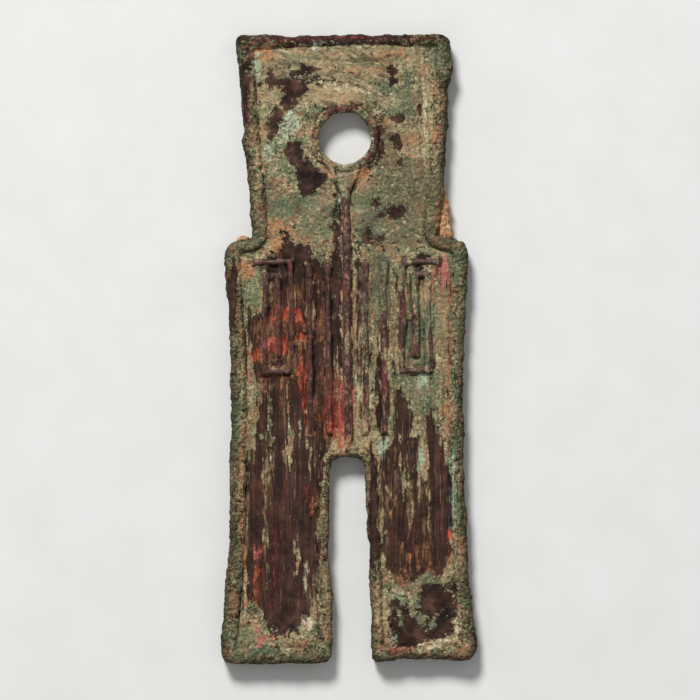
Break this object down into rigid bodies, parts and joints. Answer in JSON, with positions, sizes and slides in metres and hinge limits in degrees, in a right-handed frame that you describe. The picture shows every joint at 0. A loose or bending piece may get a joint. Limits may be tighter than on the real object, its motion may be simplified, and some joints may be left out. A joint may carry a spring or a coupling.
{
  "type": "spade coin",
  "caption": "Flat cast-bronze spade coin with a splayed head, collared string hole, raised border, slotted foot and low relief fret ornament, under an earthy patina.",
  "frame": {"origin": "middle of the coin's outline, on the plane that its back border rests on", "axes": "+Z out of the ornamented face, +Y towards the head, +X to the right as that face is seen"},
  "size_m": [0.0232, 0.0574, 0.0021],
  "materials": {
    "bronze_border": "granular olive-green corrosion over bronze",
    "bronze_field": "chocolate-brown patina with olive, tan and red patches",
    "bronze_relief": "worn plum-brown crests with earth along their feet",
    "burial_crust": "rough orange-tan earth crust"
  },
  "bodies": {
    "root": {"border": "bronze_border", "field": "bronze_field", "hole_collar": "bronze_border", "front_ridge": "bronze_relief", "back_ridge": "bronze_relief", "left_fret": "bronze_relief", "right_fret": "bronze_relief", "left_flutes": "bronze_relief", "right_flutes": "bronze_relief", "neck_crust": "burial_crust", "shoulder_grain": "burial_crust"}
  },
  "joints": []
}
